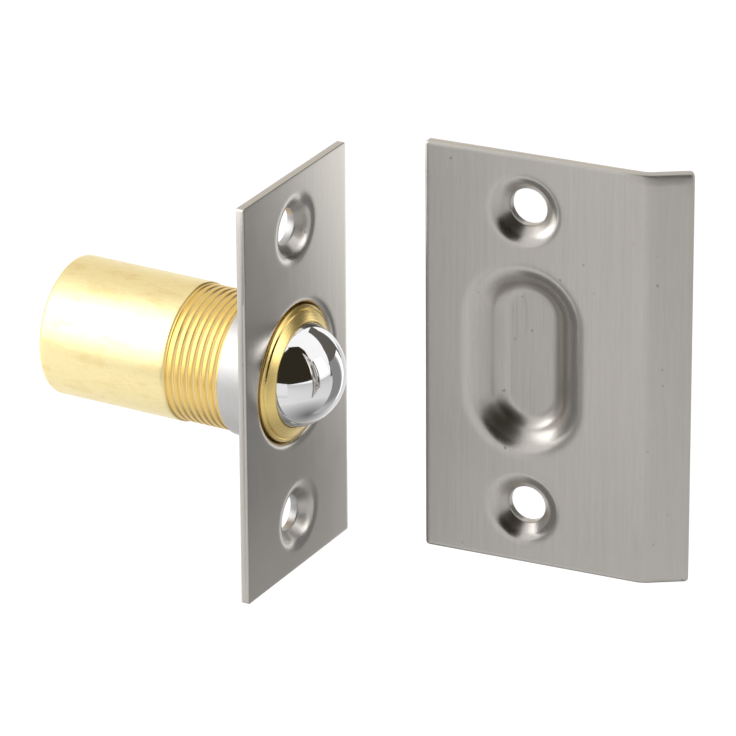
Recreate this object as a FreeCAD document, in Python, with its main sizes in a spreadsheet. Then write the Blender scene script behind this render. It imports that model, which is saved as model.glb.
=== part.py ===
import FreeCAD, Part
import math
import os

import Sketcher

# Ball catch for a cupboard or room door: a faceplate whose drawn collar carries a threaded brass
# barrel with a sprung ball, and the strike plate the ball drops into.
# Millimetres, +Z up. The origin is the centre of the faceplate's front face, on the ball's axis.
# The ball looks towards -Y and the barrel runs back along +Y, into the door.

# The sizes, each with its meaning. A formula follows the sizes it names.
SIZES = (
    ("sheet", "1.1", "thickness of both plates"),
    ("screw_apart", "39.6", "screw holes, centre to centre, on both plates"),
    ("screw_hole_r", "2.4", "screw hole"),
    ("dimple_r", "5.0", "start of the pressed dimple's rolled rim"),
    ("dimple_slope", "42", "slope of the dimple's cone, degrees from the plate"),
    ("roll_r", "2.0", "rolled rims of the dimples, front surface"),
    ("seam", "0.4", "flat ring round a hollow, up to where it joins the plate"),
    # Faceplate and its collar.
    ("plate_high", "54.0", "faceplate height"),
    ("plate_wide", "25.5", "faceplate width"),
    ("plate_corner", "0.3", "faceplate corners, seen from the front"),
    ("plate_edge", "0.1", "rounding of the faceplate's front edge"),
    ("collar_wall", "0.25", "collar wall"),
    ("collar_end", "6.4", "rear end of the collar"),
    ("collar_mouth", "1.1", "rounding of the collar's mouth in the front face"),
    ("collar_root", "0.4", "fillet between the collar and the plate's back"),
    ("thread_gap", "0.05", "radial clearance of the barrel in the collar"),
    # Ball, barrel and what is behind the ball.
    ("ball_r", "7.0", "ball"),
    ("ball_y", "0.8", "centre of the ball behind the faceplate's front"),
    ("ball_gap", "0.08", "clearance round the ball in the barrel's bore"),
    ("thread_wall", "1.82", "barrel's wall, from the bore out to the thread's crests"),
    ("shoulder_high", "0.2", "step from the thread's crests up to the smooth part"),
    ("shoulder_y", "14.3", "shoulder between thread and smooth part"),
    ("shoulder_run", "0.15", "length of the shoulder's slope"),
    ("barrel_end", "32.8", "rear end of the barrel"),
    ("barrel_round", "0.45", "rounding of the barrel's rear edge"),
    ("nose_out", "0.9", "barrel's nose in front of the faceplate"),
    ("nose_rim_y", "0.12", "outer edge of the nose's bevel"),
    ("nose_land", "0.2", "flat rim round the ball"),
    ("groove_in", "0.4", "turned groove in the bevel, in from its outer edge"),
    ("groove_wide", "0.25", "width of that groove"),
    ("groove_deep", "0.15", "depth of that groove"),
    ("cup_gap", "0.05", "clearance between the ball and its seat"),
    ("seat_gap", "0.06", "clearance round the seat in the barrel"),
    ("seat_front", "3.8", "front rim of the seat behind the ball's centre"),
    ("seat_long", "4.9", "length of the seat's head"),
    ("spigot_gap", "0.7", "clearance of the spigots inside the spring"),
    ("spigot_long", "2.0", "spigot of the seat"),
    ("plug_spigot", "1.5", "spigot of the plug"),
    ("plug_thick", "2.2", "rear plug"),
    ("pocket_step", "0.52", "pocket for the plug, wider than the bore"),
    ("plug_gap", "0.03", "clearance round the plug"),
    ("rear_lip", "0.8", "rolled lip behind the plug"),
    ("rear_lip_in", "0.6", "that lip, in from the pocket's wall"),
    ("wire_r", "0.6", "spring wire"),
    ("coil_gap", "1.18", "clearance round the spring in the bore"),
    ("coil_turns", "6", "turns of the spring"),
    # Strike plate, in its own frame: x along the flat from its free edge, y through the sheet
    # from the front face, z up.
    ("strike_high", "54.0", "strike height"),
    ("strike_flat", "29.2", "flat, up to where it would meet the lip in a sharp line"),
    ("strike_lip", "5.4", "lip, from that line to its edge"),
    ("lip_slope", "28.4", "lip, degrees back from the flat"),
    ("bend_r", "4.5", "bend between flat and lip, front surface"),
    ("strike_corner", "0.5", "strike corners, seen from the front"),
    ("strike_edge", "0.4", "rounding of the strike's front edge"),
    ("strike_in", "13.0", "holes and dish, in from the free edge"),
    ("dish_r", "8.13", "dish's half width at its rim"),
    ("dish_half", "5.05", "half the straight length of the dish's sides"),
    ("dish_deep", "2.7", "depth of the dish"),
    ("dish_slope", "52", "slope of the dish's sides, degrees"),
    ("dish_roll_r", "4.2", "wide rolled rim of the dish, front surface"),
    ("dish_bend_r", "0.9", "bend at the foot of the dish's sides, front surface"),
    ("strike_left", "10.2", "free edge of the strike left of the ball's axis, as laid out"),
    ("strike_ahead", "24.05", "free edge of the strike in front of the faceplate"),
    ("strike_up", "13.0", "middle of the strike above the ball's axis"),
    ("strike_turn", "5.5", "strike turned from square to the faceplate, degrees, as laid out"),
)

# Lengths that follow from the sizes: corners of the sections below.
FORMULAS = (
    ("screw_z", "screw_apart / 2"),
    ("half_high", "plate_high / 2"),
    ("half_wide", "plate_wide / 2"),
    ("ball_bore_r", "ball_r + ball_gap"),
    ("thread_r", "ball_bore_r + thread_wall"),
    ("barrel_r", "thread_r + shoulder_high"),
    ("collar_bore_r", "thread_r + thread_gap"),
    ("collar_r", "collar_bore_r + collar_wall"),
    ("mouth_r", "collar_bore_r + collar_mouth"),
    ("root_r", "collar_r + collar_root"),
    ("root_y", "sheet + collar_root"),
    ("tip_r", "collar_wall / 2"),
    ("tip_y", "collar_end - tip_r"),
    ("tip_mid_r", "collar_bore_r + tip_r"),
    ("collar_seam", "max(mouth_r; root_r) + seam"),
    ("dimple_front_y", "roll_r * (1 - cos(dimple_slope))"),
    ("dimple_front_r", "dimple_r - roll_r * sin(dimple_slope)"),
    ("dimple_back_y", "roll_r - (roll_r - sheet) * cos(dimple_slope)"),
    ("dimple_back_r", "dimple_r - (roll_r - sheet) * sin(dimple_slope)"),
    ("roll_back_r", "roll_r - sheet"),
    ("hole_front_y", "dimple_front_y + (dimple_front_r - screw_hole_r) * tan(dimple_slope)"),
    ("hole_back_y", "hole_front_y + sheet"),
    ("hole_back_r", "dimple_back_r - (hole_back_y - dimple_back_y) / tan(dimple_slope)"),
    ("dimple_seam", "dimple_r + seam"),
    ("bevel", "(nose_rim_y + nose_out) / (thread_r - nose_in_r)"),
    ("nose_y", "-nose_out"),
    ("mouth_ball_r", "sqrt(ball_bore_r * ball_bore_r - (ball_y + nose_out) * (ball_y + nose_out))"),
    ("nose_in_r", "mouth_ball_r + nose_land"),
    ("groove_r", "thread_r - groove_in"),
    ("groove_y", "nose_rim_y - bevel * groove_in"),
    ("groove_inner_r", "groove_r - groove_wide"),
    ("groove_inner_y", "groove_y - bevel * groove_wide"),
    ("groove_low_r", "groove_r - groove_wide / 2 - groove_deep * bevel / sqrt(1 + bevel * bevel)"),
    ("groove_low_y", "groove_y - bevel * groove_wide / 2 + groove_deep / sqrt(1 + bevel * bevel)"),
    ("thread_end_y", "shoulder_y - shoulder_run"),
    ("plug_rear", "barrel_end - rear_lip"),
    ("plug_pocket_r", "ball_bore_r + pocket_step"),
    ("rear_lip_r", "plug_pocket_r - rear_lip_in"),
    ("plug_front", "plug_rear - plug_thick"),
    ("plug_tip", "plug_front - plug_spigot"),
    ("plug_r", "plug_pocket_r - plug_gap"),
    ("round_y", "barrel_end - barrel_round"),
    ("round_r", "barrel_r - barrel_round"),
    ("seat_y", "ball_y + seat_front"),
    ("seat_rear", "seat_y + seat_long"),
    ("seat_tip", "seat_rear + spigot_long"),
    ("seat_r", "ball_bore_r - seat_gap"),
    ("cup_r", "ball_r + cup_gap"),
    ("cup_y", "ball_y + cup_r"),
    ("cup_rim_r", "sqrt(cup_r * cup_r - seat_front * seat_front)"),
    ("coil_r", "ball_bore_r - coil_gap - wire_r"),
    ("spigot_r", "coil_r - wire_r - spigot_gap"),
    ("coil_start", "seat_rear + wire_r"),
    ("coil_long", "plug_front - wire_r - coil_start"),
    ("coil_pitch", "coil_long / coil_turns"),
    ("bend_cut", "bend_r * tan(lip_slope / 2)"),
    ("bend_x", "strike_flat - bend_cut"),
    ("bend_end_x", "strike_flat + bend_cut * cos(lip_slope)"),
    ("bend_end_y", "bend_cut * sin(lip_slope)"),
    ("lip_x", "strike_flat + strike_lip * cos(lip_slope)"),
    ("lip_y", "strike_lip * sin(lip_slope)"),
    ("lip_back_x", "lip_x - sheet * sin(lip_slope)"),
    ("lip_back_y", "lip_y + sheet * cos(lip_slope)"),
    ("bend_back_x", "bend_end_x - sheet * sin(lip_slope)"),
    ("bend_back_y", "bend_end_y + sheet * cos(lip_slope)"),
    ("bend_back_r", "bend_r - sheet"),
    ("dish_rim_y", "dish_roll_r * (1 - cos(dish_slope))"),
    ("dish_rim_r", "dish_r - dish_roll_r * sin(dish_slope)"),
    ("dish_foot_y", "dish_deep - dish_bend_r * (1 - cos(dish_slope))"),
    ("dish_foot_r", "dish_rim_r - (dish_foot_y - dish_rim_y) / tan(dish_slope)"),
    ("dish_floor", "dish_foot_r - dish_bend_r * sin(dish_slope)"),
    ("dish_back", "dish_deep + sheet"),
    ("dish_roll_back_r", "dish_roll_r - sheet"),
    ("dish_bend_back_r", "dish_bend_r + sheet"),
    ("dish_rim_back_y", "dish_rim_y + sheet * cos(dish_slope)"),
    ("dish_rim_back_r", "dish_rim_r + sheet * sin(dish_slope)"),
    ("dish_foot_back_y", "dish_foot_y + sheet * cos(dish_slope)"),
    ("dish_foot_back_r", "dish_foot_r + sheet * sin(dish_slope)"),
    ("dish_seam", "dish_r + seam"),
    ("dish_long", "2 * dish_half"),
    ("dish_top", "dish_half + dish_seam"),
)

os.makedirs("parts", exist_ok=True)
doc = FreeCAD.newDocument("ball_catch")
sizes = doc.addObject("Spreadsheet::Sheet", "Sizes")


def fill_sheet():
    """Writes every size and formula into the sheet, one named cell each."""
    row = 0
    for name, text, meaning in SIZES:
        row += 1
        sizes.set(f"A{row}", name)
        sizes.set(f"B{row}", text)
        sizes.set(f"C{row}", meaning)
        sizes.setAlias(f"B{row}", name)
    first = row + 1
    for name, _ in FORMULAS:
        row += 1
        sizes.set(f"A{row}", name)
        sizes.setAlias(f"B{row}", name)
    for offset, (_, formula) in enumerate(FORMULAS):
        sizes.set(f"B{first + offset}", "=" + formula)
    doc.recompute()


def value(name):
    """Number of a named size; a leading minus turns its sign, and an empty name is zero."""
    if not name:
        return 0.0
    if name[0] == "-":
        return -float(sizes.get(name[1:]))
    return float(sizes.get(name))


def cell(name):
    """Expression that reads a named size."""
    if name[0] == "-":
        return "-Sizes." + name[1:]
    return "Sizes." + name


def plane(body, role):
    """Origin plane of a body, by its role."""
    for feature in body.Origin.OriginFeatures:
        if feature.Role == role:
            return feature
    raise ValueError(role)


def new_body(name):
    """Empty body whose label is the piece's name."""
    body = doc.addObject("PartDesign::Body", name.title().replace("_", ""))
    body.Label = name
    return body


def new_sketch(body, name, role, shift=()):
    """Sketch on an origin plane, moved by sizes from the sheet: pairs of axis and size."""
    sketch = body.newObject("Sketcher::SketchObject", name)
    sketch.AttachmentSupport = [(plane(body, role), "")]
    sketch.MapMode = "FlatFace"
    for axis, size in shift:
        sketch.setExpression(f"AttachmentOffset.Base.{axis}", cell(size))
    return sketch


def bind(sketch, kind, where, size):
    """Dimension of a sketch that follows a named size."""
    index = sketch.addConstraint(Sketcher.Constraint(kind, *where, value(size)))
    sketch.setExpression(f"Constraints[{index}]", cell(size))


def pin_down(sketch, geometry, end, x_size, y_size):
    """Fixes a point of the sketch at two named distances from the sketch's origin."""
    if x_size:
        bind(sketch, "DistanceX", (-1, 1, geometry, end), x_size)
    else:
        sketch.addConstraint(Sketcher.Constraint("PointOnObject", geometry, end, -2))
    if y_size:
        bind(sketch, "DistanceY", (-1, 1, geometry, end), y_size)
    else:
        sketch.addConstraint(Sketcher.Constraint("PointOnObject", geometry, end, -1))


def arc_between(start, end, radius, turn):
    """Arc from start to end that turns left (1) or right (-1), as geometry running left."""
    chord = end - start
    half = chord.Length / 2
    rise = math.sqrt(max(radius * radius - half * half, 0.0))
    left = FreeCAD.Vector(-chord.y, chord.x, 0).normalize()
    centre = (start + end) * 0.5 + left * rise * turn
    first, last = (start, end) if turn > 0 else (end, start)
    angles = [math.atan2(point.y - centre.y, point.x - centre.x) for point in (first, last)]
    if angles[1] < angles[0]:
        angles[1] += 2 * math.pi
    circle = Part.Circle(centre, FreeCAD.Vector(0, 0, 1), radius)
    return Part.ArcOfCircle(circle, *angles)


def outline(sketch, corners):
    """Closed outline through named corners.

    Each corner is (x, y) or (x, y, radius, turn): the names of its two coordinates, and, where
    an arc leads on from it, the name of the arc's radius and the way the arc turns.
    """
    points = [FreeCAD.Vector(value(corner[0]), value(corner[1]), 0) for corner in corners]
    first = sketch.GeometryCount
    ends = []
    for index, corner in enumerate(corners):
        start = points[index]
        end = points[(index + 1) % len(points)]
        if len(corner) == 2:
            sketch.addGeometry(Part.LineSegment(start, end), False)
            ends.append((1, 2))
        else:
            sketch.addGeometry(arc_between(start, end, value(corner[2]), corner[3]), False)
            ends.append((1, 2) if corner[3] > 0 else (2, 1))
    for index, corner in enumerate(corners):
        geometry = first + index
        before = first + (index - 1) % len(corners)
        meet = (before, ends[index - 1][1], geometry, ends[index][0])
        sketch.addConstraint(Sketcher.Constraint("Coincident", *meet))
        pin_down(sketch, geometry, ends[index][0], corner[0], corner[1])
        if len(corner) > 2:
            bind(sketch, "Radius", (geometry,), corner[2])


def circle(sketch, x_size, y_size, radius):
    """Circle about a named centre, with a named radius."""
    centre = FreeCAD.Vector(value(x_size), value(y_size), 0)
    geometry = sketch.addGeometry(Part.Circle(centre, FreeCAD.Vector(0, 0, 1), value(radius)), False)
    bind(sketch, "Radius", (geometry,), radius)
    pin_down(sketch, geometry, 3, x_size, y_size)


def pad(body, name, sketch, length, both_ways=False, backwards=False):
    """Pad of a sketch by a named length."""
    feature = body.newObject("PartDesign::Pad", name)
    feature.Profile = sketch
    feature.setExpression("Length", cell(length))
    if both_ways:
        feature.SideType = "Symmetric"
    feature.Reversed = backwards
    doc.recompute()
    return feature


def pocket_through(body, name, sketch):
    """Pocket through the whole sheet."""
    feature = body.newObject("PartDesign::Pocket", name)
    feature.Profile = sketch
    feature.Type = "ThroughAll"
    doc.recompute()
    return feature


def revolve(body, name, sketch, half=False):
    """Section turned about the sketch's own x axis: all round, or a quarter to each side."""
    feature = body.newObject("PartDesign::Revolution", name)
    feature.Profile = sketch
    feature.ReferenceAxis = (sketch, ["H_Axis"])
    if half:
        feature.Angle = 180
        feature.Midplane = True
    doc.recompute()
    return feature


def mirror(body, name, feature):
    """The feature's twin below the body's middle."""
    twin = body.newObject("PartDesign::Mirrored", name)
    twin.Originals = [feature]
    twin.MirrorPlane = (plane(body, "XY_Plane"), [""])
    body.Tip = twin
    doc.recompute()
    return twin


def round_plate(body, name, base, corner, edge):
    """Rounds a plate's four corners, then its front edge all the way round."""
    corners = body.newObject("PartDesign::Fillet", name + "Corners")
    names = [
        f"Edge{index + 1}"
        for index, line in enumerate(base.Shape.Edges)
        if abs(line.Length - value("sheet")) < 1e-6
    ]
    corners.Base = (base, names)
    corners.setExpression("Radius", cell(corner))
    doc.recompute()
    front = [face for face in corners.Shape.Faces if faces_forward(face)]
    names = []
    for index, line in enumerate(corners.Shape.Edges):
        touching = [face for face in front if any(line.isSame(side) for side in face.Edges)]
        if len(touching) == 1:
            names.append(f"Edge{index + 1}")
    rounded = body.newObject("PartDesign::Fillet", name + "Edge")
    rounded.Base = (corners, names)
    rounded.setExpression("Radius", cell(edge))
    doc.recompute()
    return rounded


def faces_forward(face):
    """Whether a face of a plate looks out of its front."""
    low, high, left, right = face.ParameterRange
    return face.normalAt((low + high) / 2, (left + right) / 2).y < -0.5


def dimple(body, name, shift):
    """Two pressed dimples for countersunk screws, the upper one and its twin."""
    sketch = new_sketch(body, name + "Section", "YZ_Plane", shift)
    outline(
        sketch,
        (
            ("", "dimple_seam"),
            ("", "dimple_r", "roll_r", 1),
            ("dimple_front_y", "dimple_front_r"),
            ("hole_front_y", "screw_hole_r"),
            ("hole_back_y", "screw_hole_r"),
            ("hole_back_y", "hole_back_r"),
            ("dimple_back_y", "dimple_back_r", "roll_back_r", -1),
            ("sheet", "dimple_r"),
            ("sheet", "dimple_seam"),
        ),
    )
    return mirror(body, name + "Lower", revolve(body, name, sketch))


def make_faceplate():
    """Faceplate: one stamping with the collar drawn out of its back."""
    body = new_body("faceplate")
    front = new_sketch(body, "PlateOutline", "XZ_Plane")
    outline(
        front,
        (
            ("-half_wide", "-half_high"),
            ("half_wide", "-half_high"),
            ("half_wide", "half_high"),
            ("-half_wide", "half_high"),
        ),
    )
    blank = pad(body, "PlateSheet", front, "sheet", backwards=True)
    round_plate(body, "Plate", blank, "plate_corner", "plate_edge")
    holes = new_sketch(body, "PlateOpenings", "XZ_Plane")
    circle(holes, "", "", "collar_seam")
    circle(holes, "", "screw_z", "dimple_seam")
    circle(holes, "", "-screw_z", "dimple_seam")
    pocket_through(body, "PlateCut", holes)
    collar = new_sketch(body, "CollarSection", "YZ_Plane")
    outline(
        collar,
        (
            ("", "collar_seam"),
            ("", "mouth_r", "collar_mouth", 1),
            ("collar_mouth", "collar_bore_r"),
            ("tip_y", "collar_bore_r", "tip_r", 1),
            ("collar_end", "tip_mid_r", "tip_r", 1),
            ("tip_y", "collar_r"),
            ("root_y", "collar_r", "collar_root", -1),
            ("sheet", "root_r"),
            ("sheet", "collar_seam"),
        ),
    )
    revolve(body, "Collar", collar)
    body.Tip = dimple(body, "Dimple", (("y", "screw_z"),))
    return body


def make_barrel():
    """Barrel: bored for the ball and spring, its nose closed in round the ball."""
    body = new_body("barrel")
    section = new_sketch(body, "BarrelSection", "YZ_Plane")
    outline(
        section,
        (
            ("nose_y", "mouth_ball_r"),
            ("nose_y", "nose_in_r"),
            ("groove_inner_y", "groove_inner_r"),
            ("groove_low_y", "groove_low_r"),
            ("groove_y", "groove_r"),
            ("nose_rim_y", "thread_r"),
            ("thread_end_y", "thread_r"),
            ("shoulder_y", "barrel_r"),
            ("round_y", "barrel_r", "barrel_round", -1),
            ("barrel_end", "round_r"),
            ("barrel_end", "rear_lip_r"),
            ("plug_rear", "rear_lip_r"),
            ("plug_rear", "plug_pocket_r"),
            ("plug_front", "plug_pocket_r"),
            ("plug_front", "ball_bore_r"),
            ("ball_y", "ball_bore_r", "ball_bore_r", 1),
        ),
    )
    revolve(body, "BarrelTurned", section)
    return body


def make_ball():
    """Ball, a little past half its width inside the nose."""
    ball = doc.addObject("Part::Sphere", "Ball")
    ball.Label = "ball"
    ball.setExpression("Radius", cell("ball_r"))
    ball.setExpression("Placement.Base.y", cell("ball_y"))
    return ball


def make_ball_seat():
    """Seat: a cup behind the ball, with a spigot that centres the spring."""
    body = new_body("ball_seat")
    section = new_sketch(body, "SeatSection", "YZ_Plane")
    outline(
        section,
        (
            ("cup_y", ""),
            ("seat_tip", ""),
            ("seat_tip", "spigot_r"),
            ("seat_rear", "spigot_r"),
            ("seat_rear", "seat_r"),
            ("seat_y", "seat_r"),
            ("seat_y", "cup_rim_r", "cup_r", -1),
        ),
    )
    revolve(body, "SeatTurned", section)
    return body


def make_spring():
    """Spring: an open coil between seat and plug, its end turns touching both."""
    body = new_body("spring")
    section = new_sketch(body, "WireSection", "YZ_Plane")
    circle(section, "coil_start", "coil_r", "wire_r")
    coil = body.newObject("PartDesign::AdditiveHelix", "Coil")
    coil.Profile = section
    coil.ReferenceAxis = (section, ["H_Axis"])
    coil.Mode = "pitch-height-angle"
    coil.setExpression("Pitch", cell("coil_pitch"))
    coil.setExpression("Height", cell("coil_long"))
    doc.recompute()
    return body


def make_rear_plug():
    """Plug that closes the barrel's rear, held by the rolled lip."""
    body = new_body("rear_plug")
    section = new_sketch(body, "PlugSection", "YZ_Plane")
    outline(
        section,
        (
            ("plug_tip", ""),
            ("plug_rear", ""),
            ("plug_rear", "plug_r"),
            ("plug_front", "plug_r"),
            ("plug_front", "spigot_r"),
            ("plug_tip", "spigot_r"),
        ),
    )
    revolve(body, "PlugTurned", section)
    return body


def dish_half_section():
    """Corners of half the dish's section, from the middle outwards and back: depth, distance."""
    return (
        ("dish_deep", ""),
        ("dish_deep", "dish_floor", "dish_bend_r", 1),
        ("dish_foot_y", "dish_foot_r"),
        ("dish_rim_y", "dish_rim_r", "dish_roll_r", -1),
        ("", "dish_r"),
        ("", "dish_seam"),
        ("sheet", "dish_seam"),
        ("sheet", "dish_r", "dish_roll_back_r", 1),
        ("dish_rim_back_y", "dish_rim_back_r"),
        ("dish_foot_back_y", "dish_foot_back_r", "dish_bend_back_r", -1),
        ("dish_back", "dish_floor"),
        ("dish_back", ""),
    )


def dish_whole_section():
    """Corners of the dish's whole section, across the strike: distance, depth."""
    half = dish_half_section()[1:-1]
    right = [(corner[1], corner[0]) + other_turn(corner) for corner in half]
    left = []
    for index in reversed(range(len(half))):
        lead = half[index - 1] if index else ()
        left.append(("-" + half[index][1], half[index][0]) + other_turn(lead))
    return right + left


def other_turn(corner):
    """Arc that leads on from a corner, if any, turning the other way."""
    return (corner[2], -corner[3]) if len(corner) > 2 else ()


def make_strike():
    """Strike plate: one stamping with a dish for the ball and a lip bent back."""
    body = new_body("strike_plate")
    section = new_sketch(body, "StrikeSection", "XY_Plane")
    outline(
        section,
        (
            ("", ""),
            ("bend_x", "", "bend_r", 1),
            ("bend_end_x", "bend_end_y"),
            ("lip_x", "lip_y"),
            ("lip_back_x", "lip_back_y"),
            ("bend_back_x", "bend_back_y", "bend_back_r", -1),
            ("bend_x", "sheet"),
            ("", "sheet"),
        ),
    )
    blank = pad(body, "StrikeSheet", section, "strike_high", both_ways=True)
    round_plate(body, "Strike", blank, "strike_corner", "strike_edge")
    holes = new_sketch(body, "StrikeOpenings", "XZ_Plane", (("x", "strike_in"),))
    circle(holes, "", "screw_z", "dimple_seam")
    circle(holes, "", "-screw_z", "dimple_seam")
    outline(
        holes,
        (
            ("dish_seam", "-dish_half"),
            ("dish_seam", "dish_half", "dish_seam", 1),
            ("", "dish_top", "dish_seam", 1),
            ("-dish_seam", "dish_half"),
            ("-dish_seam", "-dish_half", "dish_seam", 1),
            ("", "-dish_top", "dish_seam", 1),
        ),
    )
    pocket_through(body, "StrikeCut", holes)
    across = new_sketch(body, "DishSection", "XY_Plane", (("x", "strike_in"),))
    outline(across, dish_whole_section())
    pad(body, "DishSides", across, "dish_long", both_ways=True)
    turned = new_sketch(body, "DishEndSection", "YZ_Plane", (("y", "dish_half"), ("z", "strike_in")))
    outline(turned, dish_half_section())
    mirror(body, "DishEndLower", revolve(body, "DishEnd", turned, half=True))
    body.Tip = dimple(body, "StrikeDimple", (("y", "screw_z"), ("z", "strike_in")))
    body.Placement = FreeCAD.Placement(
        FreeCAD.Vector(0, 0, 0), FreeCAD.Rotation(FreeCAD.Vector(0, 0, -1), 90)
    )
    body.setExpression("Placement.Rotation.Angle", "90 deg - 1 deg * Sizes.strike_turn")
    for axis, size in (("x", "-strike_left"), ("y", "-strike_ahead"), ("z", "strike_up")):
        body.setExpression(f"Placement.Base.{axis}", cell(size))
    return body


def check(pieces):
    """Stops the build where a feature failed or a piece isn't one sound solid."""
    for item in doc.Objects:
        if "Invalid" in item.State or "Error" in item.State:
            raise RuntimeError(f"{item.Name}: {item.State}")
    for piece in pieces:
        if piece.Shape.isNull() or not piece.Shape.isValid() or len(piece.Shape.Solids) != 1:
            raise RuntimeError(f"{piece.Label}: not one sound solid")


def main():
    """Builds the seven pieces and writes each as a STEP file."""
    fill_sheet()
    pieces = (
        make_faceplate(),
        make_barrel(),
        make_ball(),
        make_ball_seat(),
        make_spring(),
        make_rear_plug(),
        make_strike(),
    )
    doc.recompute()
    check(pieces)
    for piece in pieces:
        piece.Shape.exportStep(f"parts/{piece.Label}.step")
        print(piece.Label, round(piece.Shape.Volume, 3))


main()
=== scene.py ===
"""Looks of a ball catch: faceplate, threaded brass barrel with its sprung ball, and strike plate.

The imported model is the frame: metres, +Z up, the ball looking towards -Y. Sizes here are in
millimetres and are scaled once, when a mesh is made.
"""
import logging
import math
from dataclasses import dataclass, field
from enum import Enum
from typing import Callable, Sequence, Union

import bmesh
import bpy
from mathutils import Matrix, Vector
from mathutils.geometry import delaunay_2d_cdt

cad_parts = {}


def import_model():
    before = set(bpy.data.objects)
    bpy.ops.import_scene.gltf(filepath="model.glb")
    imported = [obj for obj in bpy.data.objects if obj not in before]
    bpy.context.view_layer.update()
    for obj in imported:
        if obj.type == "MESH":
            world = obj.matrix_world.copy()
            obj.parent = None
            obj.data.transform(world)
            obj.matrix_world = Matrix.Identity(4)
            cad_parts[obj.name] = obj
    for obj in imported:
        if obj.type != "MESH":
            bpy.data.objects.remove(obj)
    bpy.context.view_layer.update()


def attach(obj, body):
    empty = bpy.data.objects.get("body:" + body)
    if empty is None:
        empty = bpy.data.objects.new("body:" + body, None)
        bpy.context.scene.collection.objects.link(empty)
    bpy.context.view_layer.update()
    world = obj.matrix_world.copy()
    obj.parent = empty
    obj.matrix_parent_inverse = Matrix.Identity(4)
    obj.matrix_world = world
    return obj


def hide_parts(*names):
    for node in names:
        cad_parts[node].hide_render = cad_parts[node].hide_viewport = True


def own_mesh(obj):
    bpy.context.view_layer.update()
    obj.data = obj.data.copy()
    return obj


LOG = logging.getLogger("ball_catch")
MM = 0.001
WELD = 1e-8
TURN = 2 * math.pi
Socket = bpy.types.NodeSocket
Material = bpy.types.Material
Item = bpy.types.Object
Point2 = tuple[float, float]
Point3 = tuple[float, float, float]
Place = Callable[[float, float, float], Point3]
Number = Union["Value", float, int]
Colour = Union[Socket, Sequence[float]]

BALL_R = 7.0
BALL_AT = 0.8
SEAT_FRONT, SEAT_REAR = 4.6, 9.5
PLUG_FRONT, PLUG_REAR = 29.8, 32.0
STRIKE_AT = (-10.2, -24.05, 13.0)
STRIKE_TURN = math.radians(5.5)


class Body(Enum):
    """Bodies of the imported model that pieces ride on."""

    PLATES = "plates"
    CARRIER = "spring_carrier"
    BARREL = "barrel"
    SEAT = "seat"
    BALL = "ball"


# ---------------------------------------------------------------- materials


class Value:
    """A number that varies over a surface: one node socket, with arithmetic on it."""

    def __init__(self, nodes: "Nodes", socket: Socket) -> None:
        """Wraps a socket of a tree."""
        self.nodes = nodes
        self.socket = socket

    def _math(self, operation: str, *values: Number) -> "Value":
        """Adds one Math node.

        Args:
            operation: The node's operation.
            values: Its inputs, in order.

        Returns:
            The node's result.
        """
        return self.nodes.value("ShaderNodeMath", {"operation": operation}, dict(enumerate(values)))

    def __add__(self, other: Number) -> "Value":
        """Sum."""
        return self._math("ADD", self, other)

    __radd__ = __add__

    def __mul__(self, other: Number) -> "Value":
        """Product."""
        return self._math("MULTIPLY", self, other)

    __rmul__ = __mul__

    def __sub__(self, other: Number) -> "Value":
        """Difference."""
        return self._math("SUBTRACT", self, other)

    def __rsub__(self, other: Number) -> "Value":
        """Difference from a number."""
        return self._math("SUBTRACT", other, self)

    def __pow__(self, other: Number) -> "Value":
        """Power."""
        return self._math("POWER", self, other)

    def sqrt(self) -> "Value":
        """Square root."""
        return self._math("SQRT", self)

    def sine(self) -> "Value":
        """Sine of an angle in radians."""
        return self._math("SINE", self)

    def between(self, low: float, high: float, smooth: bool = True) -> "Value":
        """Step from 0 to 1.

        Args:
            low: Where the step starts.
            high: Where it ends; below low the step runs the other way.
            smooth: Whether the step is eased at both ends, and not straight.

        Returns:
            A value from 0 at low to 1 at high.
        """
        settings = {"interpolation_type": "SMOOTHSTEP" if smooth else "LINEAR", "clamp": True}
        inputs = {"Value": self, "From Min": low, "From Max": high}
        return self.nodes.value("ShaderNodeMapRange", settings, inputs)


def length(parts: Sequence[Value]) -> Value:
    """Length of the vector that has these parts."""
    return sum((part * part for part in parts[1:]), parts[0] * parts[0]).sqrt()


class Nodes:
    """Node tree of a material or of the world."""

    def __init__(self, tree: bpy.types.NodeTree) -> None:
        """Empties the tree."""
        self.tree = tree
        tree.nodes.clear()

    def node(self, kind: str, settings: dict, inputs: dict) -> bpy.types.Node:
        """Adds a node.

        Args:
            kind: The node's type.
            settings: Its properties, which are set first.
            inputs: Socket name or index to a value, a socket or a Value.

        Returns:
            The node.
        """
        node = self.tree.nodes.new(kind)
        for name, setting in settings.items():
            setattr(node, name, setting)
        for key, given in inputs.items():
            self.give(node.inputs[key], given)
        return node

    def give(self, target: Socket, given: Union[Value, Colour, float]) -> None:
        """Links a Value or a socket to an input, or sets the input's own value.

        Args:
            target: The input.
            given: What it gets.
        """
        source = given.socket if isinstance(given, Value) else given
        if isinstance(source, Socket):
            self.tree.links.new(source, target)
        else:
            target.default_value = source

    def value(self, kind: str, settings: dict, inputs: dict) -> Value:
        """Adds a node and gives its first output as a Value."""
        return Value(self, self.node(kind, settings, inputs).outputs[0])

    def rays(self, *kinds: str) -> list[Value]:
        """For each kind of ray, such as camera rays, 1 where the surface is met by one."""
        path = self.node("ShaderNodeLightPath", {}, {})
        return [Value(self, path.outputs[f"Is {kind} Ray"]) for kind in kinds]


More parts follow.
